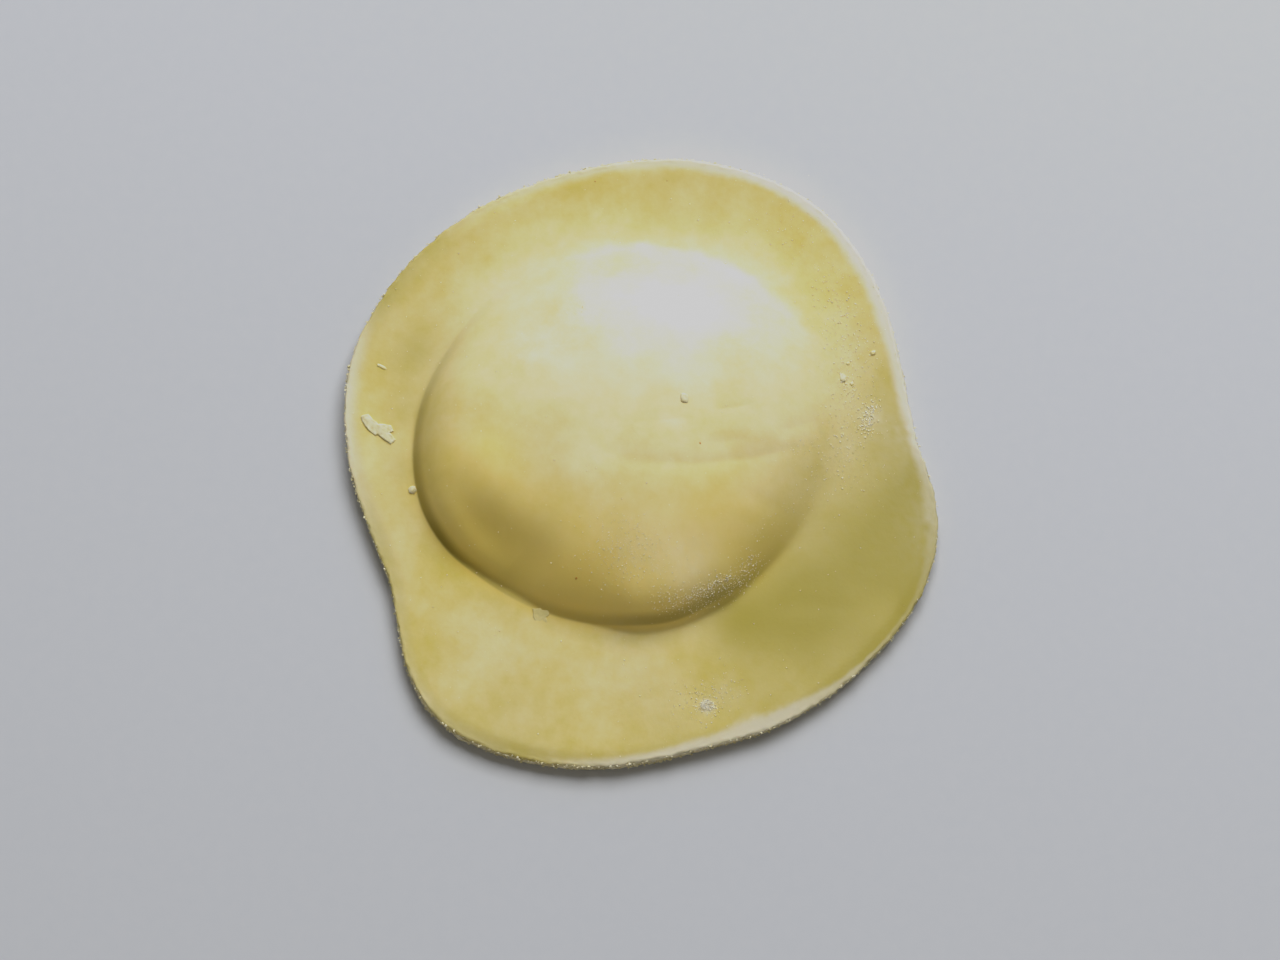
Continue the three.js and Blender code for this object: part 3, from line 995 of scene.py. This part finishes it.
@dataclass
class LowerSheet(Sheet):
    """The lower sheet, of which only the crumbly floury cut shows under the seam."""

    name: str = "lower_dough_sheet"
    slot: Slot = Slot.FLOURED_DOUGH
    node: Node = Node.LOWER_SHEET
    upper_rounding: float = 0.16
    crumble: float = 0.26
    top_rings: int = 14
    least_flour: float = 0.22
    broken_flour: float = 0.45
    even_paleness: float = 0.45

    def edge_reach(self, angle: np.ndarray) -> np.ndarray:
        """How far the sheet's cut edge is from the dome's centre: it shows past the upper sheet in places."""
        return self.form.rim_reach(angle) + self.form.lower_sheet_shows(angle)

    def lower_face(self, x: np.ndarray, y: np.ndarray) -> np.ndarray:
        """Height of the sheet's underside."""
        return self.form.lift(x, y)

    def upper_face(self, x: np.ndarray, y: np.ndarray) -> np.ndarray:
        """Height of the sheet's upper face."""
        return self.form.seam(x, y)

    def upper_stations(self) -> np.ndarray:
        """Nominal radii of the rings: few under the dome, close towards the cut edge."""
        edge = self.nominal_foot + self.nominal_rim - 0.4
        share = np.linspace(0.0, 1.0, self.top_rings + 1)[1:]
        return edge * (1 - (1 - share) ** 1.8)

    def flouriness(self, places: np.ndarray, inset: np.ndarray) -> np.ndarray:
        """How floury each point is: the cut itself is broken and white in places."""
        broken = smooth_step(cloud(places, 1.1, 3, shift=2.0), -0.5, 0.4)
        return (self.least_flour + self.broken_flour * broken) * (1 - smooth_step(inset, 0.5, 1.6))

    def paleness(self, places: np.ndarray) -> np.ndarray:
        """An even, fairly pale dough."""
        return np.full(len(places), self.even_paleness)


# ---------------------------------------------------------------------------------------------------------------
# What lies on the dough
# ---------------------------------------------------------------------------------------------------------------


STRIP_OUTLINE = (
    (-1.95, 1.3), (-1.1, 1.55), (0.0, 0.5), (1.35, 0.4), (1.7, -0.3), (1.3, -0.5), (1.95, -1.3), (1.3, -1.75),
    (-0.1, -0.8), (-0.35, -1.0), (-1.35, -0.05), (-1.95, 0.9),
)
FLAKE_OUTLINE = (
    (-0.95, 0.95), (-0.25, 0.9), (0.3, 0.65), (0.95, 0.7), (0.85, 0.15), (0.6, -0.2), (0.65, -0.65), (0.1, -1.1),
    (-0.55, -0.85), (-0.85, -0.1),
)


@dataclass
class TornScrap:
    """A torn scrap of thin dough that lies on the sheet: ragged, and hardly standing off it."""

    form: ParcelForm
    name: str
    middle: tuple[float, float]
    outline: tuple[tuple[float, float], ...]
    thickness: float = 0.24
    curl: float = 0.1
    paleness: float = 1.0
    tears: tuple[float, ...] = (0.16, 0.1, 0.05)
    sink: float = 0.04

    def build(self, finish: bpy.types.Material) -> bpy.types.Object:
        """Cuts the scrap from its outline, gives it thickness and tears its edges."""
        scrap = bmesh.new()
        corners = [scrap.verts.new((x, y, 0.0)) for x, y in self.outline]
        face = scrap.faces.new(corners)
        bmesh.ops.triangulate(scrap, faces=[face])
        for raggedness in self.tears:
            bmesh.ops.subdivide_edges(scrap, edges=scrap.edges[:], cuts=1, use_grid_fill=True)
            for v in scrap.verts:
                if v.is_boundary:
                    place = v.co * 2.6 + Vector((3.0, 1.0, 10.0))
                    aside, along = noise.noise(place), noise.noise(place + Vector((0.0, 0.0, 50.0)))
                    v.co += raggedness * Vector((aside, along, 0.0))
        bmesh.ops.recalc_face_normals(scrap, faces=scrap.faces[:])
        if scrap.faces[0].normal.z < 0:
            bmesh.ops.reverse_faces(scrap, faces=scrap.faces[:])
        raised = bmesh.ops.extrude_face_region(scrap, geom=scrap.faces[:], use_keep_orig=True)
        top = [v for v in raised["geom"] if isinstance(v, bmesh.types.BMVert)]
        bmesh.ops.translate(scrap, verts=top, vec=(0, 0, self.thickness))
        bmesh.ops.recalc_face_normals(scrap, faces=scrap.faces[:])
        bmesh.ops.smooth_vert(scrap, verts=top, factor=0.4, use_axis_x=True, use_axis_y=True, use_axis_z=True)
        for v in scrap.verts:
            lump = noise.noise(v.co * 1.7 + Vector((0, 0, 4.0)))
            fine = noise.noise(v.co * 4.5 + Vector((2.0, 0, 9.0)))
            crest = self.thickness * (0.4 * lump + 0.25 * fine) * (1.0 if v.co.z > 0.5 * self.thickness else 0.2)
            lifted = self.curl * (0.35 * max(0.0, -0.3 - v.co.x) ** 1.5 + 0.4 * max(0.0, v.co.x))
            v.co.z += crest + lifted
        x, y = self.middle
        lean = self.form.lean_at(x, y, reach=1.0)
        bmesh.ops.transform(scrap, verts=scrap.verts[:], matrix=lean)
        bmesh.ops.translate(scrap, verts=scrap.verts[:], vec=(x, y, self.form.height_at(x, y) - self.sink))
        mesh = mesh_from(scrap, self.name)
        write_attribute(mesh, "pale", np.full(len(mesh.vertices), self.paleness))
        return finish_piece(mesh, finish, Slot.FLOURED_DOUGH, Node.UPPER_SHEET)


@dataclass(frozen=True)
class Crumb:
    """One crumb or flake: its place, size, turn and how lumpy it is."""

    place: tuple[float, float]
    size: tuple[float, float, float]
    turn: float = 0.0
    lumpiness: float = 0.22


@dataclass
class DoughCrumbs:
    """A kind of crumb or flake of dough, each a lumpy little body sunk a little into the sheet."""

    form: ParcelForm
    name: str
    crumbs: tuple[Crumb, ...]
    sink: float = 0.15
    fineness: int = 3
    paleness: float = 0.0

    def build(self, finish: bpy.types.Material) -> bpy.types.Object:
        """Makes all crumbs of the kind as one piece."""
        heap = bmesh.new()
        for number, crumb in enumerate(self.crumbs):
            x, y = crumb.place
            made = bmesh.ops.create_icosphere(heap, subdivisions=self.fineness, radius=0.5)["verts"]
            for v in made:
                lump = noise.fractal(v.co * 2.4 + Vector((number * 5.0, 0, 0)), 0.8, 2.0, 3)
                v.co *= 1 + crumb.lumpiness * lump
            height = self.form.height_at(x, y) + crumb.size[2] / 2 - self.sink
            shape = (
                Matrix.Translation((x, y, height))
                @ self.form.lean_at(x, y, reach=crumb.size[0] / 2)
                @ Matrix.Rotation(math.radians(crumb.turn), 4, "Z")
                @ Matrix.Diagonal((*crumb.size, 1.0))
            )
            bmesh.ops.transform(heap, verts=made, matrix=shape)
        mesh = mesh_from(heap, self.name)
        write_attribute(mesh, "pale", np.full(len(mesh.vertices), self.paleness))
        return finish_piece(mesh, finish, Slot.FLOURED_DOUGH, Node.UPPER_SHEET)


@dataclass(frozen=True)
class Sprinkle:
    """Flour that fell along a path of the plan: how far it spread to each side, and how many grains."""

    path: tuple[tuple[float, float], ...]
    spread: float
    count: int
    coarseness: float = 1.0


@dataclass
class FlourGrains:
    """Grains of flour and semolina on the dough, thick in some places and here and there all over."""

    form: ParcelForm
    name: str = "flour_grains"
    smallest: float = 0.08
    largest: float = 0.22
    fineness: float = 2.2  # the higher, the more small grains there are for each large one
    rise: float = 0.14  # how far a grain's middle is above the dough, as a share of its width
    seed: int = 41
    stray_count: int = 520
    stray_coarseness: float = 0.85
    bare_edge: float = 0.8
    sprinkles: tuple[Sprinkle, ...] = (
        Sprinkle(((23.0, 17.0), (24.4, 12.4), (25.0, 8.0), (25.0, 3.1), (24.7, -0.5), (23.8, -5.0)), 1.8, 640),
        Sprinkle(((26.3, 0.6), (26.8, 2.1), (27.5, 3.9)), 0.45, 240, 1.1),
        Sprinkle(((24.0, 6.2), (25.3, 4.8)), 0.45, 60),
        Sprinkle(((3.4, -19.2), (7.1, -18.8), (10.0, -17.6), (12.6, -16.0), (14.2, -14.2)), 0.75, 760, 0.8),
        Sprinkle(((6.4, -18.8), (11.6, -16.2)), 0.3, 150, 1.0),
        Sprinkle(((-3.0, -13.8), (-0.5, -13.4), (1.7, -14.0), (3.8, -15.0)), 2.0, 560, 0.75),
        Sprinkle(((7.1, -29.3), (8.9, -29.9), (10.6, -28.4)), 1.2, 200, 0.85),
        Sprinkle(((8.4, -29.95), (9.4, -29.85)), 0.27, 360, 1.0),
        Sprinkle(((10.0, -27.0), (12.4, -28.4)), 1.0, 60, 0.8),
        Sprinkle(((16.2, 26.9), (19.5, 22.3), (22.7, 16.6)), 1.8, 110, 0.8),
        Sprinkle(((17.5, -2.6), (20.5, -1.6)), 0.6, 40, 0.8),
        Sprinkle(((14.0, -12.0), (19.0, -8.0), (21.5, -4.5)), 1.0, 70, 0.8),
    )

    def draws(self, rng: random.Random) -> Iterable[tuple[float, float, float]]:
        """Draws the places and sizes of all grains.

        Args:
            rng: The seeded source of chance.

        Yields:
            Place in the plan and width of a grain.
        """
        for sprinkle in self.sprinkles:
            corners = [Vector(corner) for corner in sprinkle.path]
            for _ in range(sprinkle.count):
                leg = rng.randrange(len(corners) - 1)
                spot = corners[leg].lerp(corners[leg + 1], rng.random())
                x, y = rng.gauss(spot.x, sprinkle.spread), rng.gauss(spot.y, sprinkle.spread)
                yield x, y, self.width(rng) * sprinkle.coarseness
        for _ in range(self.stray_count):
            turn = rng.uniform(0.0, math.tau)
            edge = float(self.form.rim_reach(np.array([math.degrees(turn)]))[0])
            reach = (edge - self.bare_edge) * math.sqrt(rng.random())
            yield reach * math.cos(turn), reach * math.sin(turn), self.width(rng) * self.stray_coarseness

    def width(self, rng: random.Random) -> float:
        """Draws a grain's width: small ones are much more common."""
        return self.smallest + (self.largest - self.smallest) * rng.random() ** self.fineness

    def build(self, finish: bpy.types.Material) -> bpy.types.Object:
        """Makes all grains as one piece."""
        rng = random.Random(self.seed)
        drawn = np.array(list(self.draws(rng)))
        heights = self.form.upper_face(drawn[:, 0], drawn[:, 1])
        shapes = [
            Matrix.Translation((x, y, height + self.rise * width))
            @ Matrix.Rotation(rng.uniform(0, math.tau), 4, Vector((rng.gauss(0, 1), rng.gauss(0, 1), 1)))
            @ Matrix.Diagonal((width, width * rng.uniform(0.6, 0.95), width * rng.uniform(0.5, 0.8), 1.0))
            for (x, y, width), height in zip(drawn.tolist(), heights.tolist())
        ]
        mesh = scattered(self.name, shapes, self.seed)
        return finish_piece(mesh, finish, Slot.FLOURED_DOUGH, Node.UPPER_SHEET)


@dataclass
class BranSpecks:
    """The few specks of bran that show in the dough, each nearly level with it."""

    form: ParcelForm
    name: str = "bran_specks"
    specks: tuple[tuple[float, float, float], ...] = (
        (-3.3, 29.1, 0.2), (-4.6, 13.3, 0.18), (8.2, -2.35, 0.26), (-5.2, -16.6, 0.36), (4.7, 29.2, 0.16),
    )

    def build(self, finish: bpy.types.Material) -> bpy.types.Object:
        """Makes all specks as one piece."""
        heap = bmesh.new()
        for x, y, width in self.specks:
            shape = (
                Matrix.Translation((x, y, self.form.height_at(x, y)))
                @ self.form.lean_at(x, y)
                @ Matrix.Rotation(x, 4, "Z")
                @ Matrix.Diagonal((width, 0.7 * width, 0.1, 1.0))
            )
            bmesh.ops.create_icosphere(heap, subdivisions=2, radius=0.5, matrix=shape)
        return finish_piece(mesh_from(heap, self.name), finish, Slot.DOUGH, Node.UPPER_SHEET)


@dataclass
class CutEdgeCrumbs:
    """Tiny broken bits that hang on the cut edges of both sheets."""

    form: ParcelForm
    name: str = "cut_edge_crumbs"
    count: int = 3600
    seed: int = 7
    smallest: float = 0.08
    largest: float = 0.38
    fineness: float = 2.5  # the higher, the more small bits there are for each large one
    stray: tuple[float, float] = (-0.12, 0.1)
    upper_share: float = 0.45
    upper_levels: tuple[float, float] = (1.2, 1.95)
    lower_levels: tuple[float, float] = (0.1, 1.0)
    density: RoundRule = RoundRule(
        (0, 0.35), (40, 0.5), (60, 0.9), (95, 1.0), (125, 0.45), (150, 0.5), (175, 0.8), (200, 0.6), (230, 0.7),
        (265, 1.0), (290, 0.9), (310, 0.65), (335, 0.5),
    )

    def build(self, finish: bpy.types.Material) -> bpy.types.Object:
        """Makes all bits as one piece."""
        rng = random.Random(self.seed)
        shapes = []
        while len(shapes) < self.count:
            angle = rng.uniform(0.0, 360.0)
            at = np.array([angle])
            if rng.random() > float(self.density(at)[0]):
                continue
            width = self.smallest + (self.largest - self.smallest) * rng.random() ** self.fineness
            on_upper = rng.random() < self.upper_share
            shows = 0.0 if on_upper else float(self.form.lower_sheet_shows(at)[0])
            reach = float(self.form.rim_reach(at)[0]) + shows + rng.uniform(*self.stray)
            x, y = reach * math.cos(math.radians(angle)), reach * math.sin(math.radians(angle))
            floor = float(self.form.lift(np.array([x]), np.array([y]))[0])
            level = rng.uniform(*(self.upper_levels if on_upper else self.lower_levels))
            shapes.append(
                Matrix.Translation((x, y, max(floor + level, 0.5 * width)))
                @ Matrix.Rotation(rng.uniform(0, math.tau), 4, Vector((rng.gauss(0, 1), rng.gauss(0, 1), 1)))
                @ Matrix.Diagonal((width, width * rng.uniform(0.5, 0.9), width * rng.uniform(0.4, 0.8), 1.0))
            )
        mesh = scattered(self.name, shapes, self.seed)
        return finish_piece(mesh, finish, Slot.FLOURED_DOUGH, Node.LOWER_SHEET)


# ---------------------------------------------------------------------------------------------------------------
# Floor, light and camera
# ---------------------------------------------------------------------------------------------------------------


def direction(azimuth: float, elevation: float) -> Vector:
    """The unit vector that points to an azimuth, anticlockwise from +X, and an elevation."""
    turn, rise = math.radians(azimuth), math.radians(elevation)
    return Vector((math.cos(turn) * math.cos(rise), math.sin(turn) * math.cos(rise), math.sin(rise)))


@dataclass
class Studio:
    """A plain pale floor, a broad soft light from the back with its sheen, a weak low fill, and even light."""

    floor_width: float = 6000.0
    floor_gap: float = 0.02
    key_azimuth: float = 73.0
    key_elevation: float = 52.0
    key_distance: float = 900.0
    key_size: tuple[float, float] = (620.0, 520.0)
    key_power: float = 7.75
    key_colour: str = "#f9fbff"
    ambient: float = 0.14
    sheen_azimuth: float = 79.0
    sheen_elevation: float = 26.5
    sheen_distance: float = 900.0
    sheen_size: tuple[float, float] = (840.0, 430.0)
    sheen_power: float = 26.0
    sheen_colour: str = "#b4c6ff"
    fill_azimuth: float = -95.0
    fill_elevation: float = 18.0
    fill_distance: float = 900.0
    fill_size: tuple[float, float] = (900.0, 300.0)
    fill_power: float = 0.6
    fill_colour: str = "#ffefca"
    ambient_colour: str = "#f4f5f7"

    def floor(self, finish: bpy.types.Material) -> bpy.types.Object:
        """Lays the floor just below the part."""
        plane = bmesh.new()
        bmesh.ops.create_grid(plane, x_segments=4, y_segments=4, size=self.floor_width / 2 * MM)
        bmesh.ops.translate(plane, verts=plane.verts[:], vec=(0, 0, -self.floor_gap * MM))
        mesh = mesh_from(plane, "floor")
        mesh.materials.append(finish)
        floor = bpy.data.objects.new("floor", mesh)
        bpy.context.scene.collection.objects.link(floor)
        return floor

    def lamp(
        self, name: str, azimuth: float, elevation: float, distance: float, size: tuple[float, float], power: float,
        colour: str,
    ) -> bpy.types.Object:
        """Hangs one soft light that faces the part.

        Args:
            name: The light's name.
            azimuth: Where it hangs, anticlockwise from +X.
            elevation: How high it hangs.
            distance: How far away it hangs, in millimetres.
            size: Width and depth of its face, in millimetres.
            power: Its power in watts.
            colour: Its colour.

        Returns:
            The light.
        """
        lamp = bpy.data.lights.new(name, "AREA")
        lamp.shape = "RECTANGLE"
        lamp.size, lamp.size_y = (side * MM for side in size)
        lamp.energy = power
        lamp.color = linear(colour)[:3]
        light = bpy.data.objects.new(name, lamp)
        towards = direction(azimuth, elevation)
        light.location = towards * distance * MM
        light.rotation_euler = towards.to_track_quat("Z", "Y").to_euler()
        bpy.context.scene.collection.objects.link(light)
        return light

    def light(self) -> None:
        """Hangs the soft light, the sheen and the fill, and sets the even light all round."""
        key = self.lamp(
            "soft_window_light", self.key_azimuth, self.key_elevation, self.key_distance, self.key_size,
            self.key_power, self.key_colour,
        )
        key.visible_glossy = False
        # The sheen stands in for the key wherever the part shines: the cool glance of a window on the moist dome.
        sheen = self.lamp(
            "cool_window_sheen", self.sheen_azimuth, self.sheen_elevation, self.sheen_distance, self.sheen_size,
            self.sheen_power, self.sheen_colour,
        )
        sheen.visible_diffuse = False
        fill = self.lamp(
            "low_front_fill", self.fill_azimuth, self.fill_elevation, self.fill_distance, self.fill_size,
            self.fill_power, self.fill_colour,
        )
        fill.visible_glossy = False
        world = bpy.data.worlds.new("even_light")
        world.use_nodes = True
        background = world.node_tree.nodes["Background"]
        background.inputs["Color"].default_value = linear(self.ambient_colour)
        background.inputs["Strength"].default_value = self.ambient
        bpy.context.scene.world = world


@dataclass
class PhotoCamera:
    """The camera that took the picture: almost straight above, from a little to the front."""

    aim: tuple[float, float, float] = (-0.07, -2.27, 1.2)
    elevation: float = 78.0
    distance: float = 450.0
    pixel_size: float = 0.11  # what one pixel of the picture shows at the aim
    image_width: int = 1280
    sensor_width: float = 36.0

    def place(self) -> None:
        """Sets the camera up and makes it the scene's own."""
        lens = bpy.data.cameras.new("camera")
        lens.sensor_width = self.sensor_width
        lens.lens = self.distance / self.pixel_size / self.image_width * self.sensor_width
        lens.clip_start = 10 * MM
        camera = bpy.data.objects.new("camera", lens)
        back = direction(-90.0, self.elevation)
        camera.location = (Vector(self.aim) + back * self.distance) * MM
        camera.rotation_euler = (math.radians(90.0 - self.elevation), 0.0, 0.0)
        bpy.context.scene.collection.objects.link(camera)
        bpy.context.scene.camera = camera


@dataclass(frozen=True)
class ToneCurve:
    """The picture's tone: straight through the middle tones, with a soft shoulder that holds the whites back."""

    shoulder: float = 0.54
    white: float = 0.6
    reached_at: float = 0.68

    def apply(self) -> None:
        """Sets the scene's view to this tone."""
        view = bpy.context.scene.view_settings
        view.view_transform = "Standard"
        view.use_curve_mapping = True
        mapping = view.curve_mapping
        mapping.extend = "HORIZONTAL"
        tone = mapping.curves[3]
        tone.points[0].location = (0.0, 0.0)
        tone.points[1].location = (1.0, self.white)
        tone.points.new(self.shoulder, self.shoulder)
        tone.points.new(self.reached_at, self.white)
        for point in tone.points:
            point.handle_type = "VECTOR"
        mapping.update()


# ---------------------------------------------------------------------------------------------------------------
# Build
# ---------------------------------------------------------------------------------------------------------------


def main() -> None:
    """Builds the parcel and its studio."""
    logging.basicConfig(level=logging.INFO, format="%(name)s: %(message)s")
    ToneCurve().apply()
    form = ParcelForm()
    dough = FreshEggDough().material()
    scraps = WheatFlour("dry_dough", "#dccf98", "#eee4ba").material()
    semolina = WheatFlour("durum_semolina", "#f5e7b0", "#fff8dc").material()
    bran = WheatBran().material()
    PhotoCamera().place()
    UpperSheet(form).build(dough)
    LowerSheet(form).build(dough)
    TornScrap(form, "torn_dough_strip", (-27.1, 1.0), STRIP_OUTLINE).build(scraps)
    TornScrap(form, "dough_flake", (-9.1, -19.95), FLAKE_OUTLINE, thickness=0.13, paleness=0.5).build(dough)
    DoughCrumbs(
        form,
        "dry_dough_crumbs",
        (
            Crumb((-23.25, -5.95), (0.9, 0.85, 0.48)),
            Crumb((6.5, 2.6), (1.15, 0.85, 0.4), -75.0),
            Crumb((24.0, 6.4), (0.7, 1.05, 0.42), 20.0),
        ),
    ).build(scraps)
    DoughCrumbs(
        form,
        "moist_dough_crumbs",
        (
            Crumb((-26.8, 7.9), (1.3, 0.4, 0.28), -28.0),
            Crumb((27.4, 9.4), (0.7, 0.5, 0.36), 15.0, 0.35),
            Crumb((24.6, 8.1), (0.4, 0.45, 0.3)),
            Crumb((25.0, 5.8), (0.5, 0.4, 0.3)),
        ),
        paleness=0.6,
    ).build(dough)
    FlourGrains(form).build(semolina)
    BranSpecks(form).build(bran)
    CutEdgeCrumbs(form).build(scraps)
    studio = Studio()
    studio.floor(StudioPaper().material())
    studio.light()


if __name__ == "__main__":
    main()
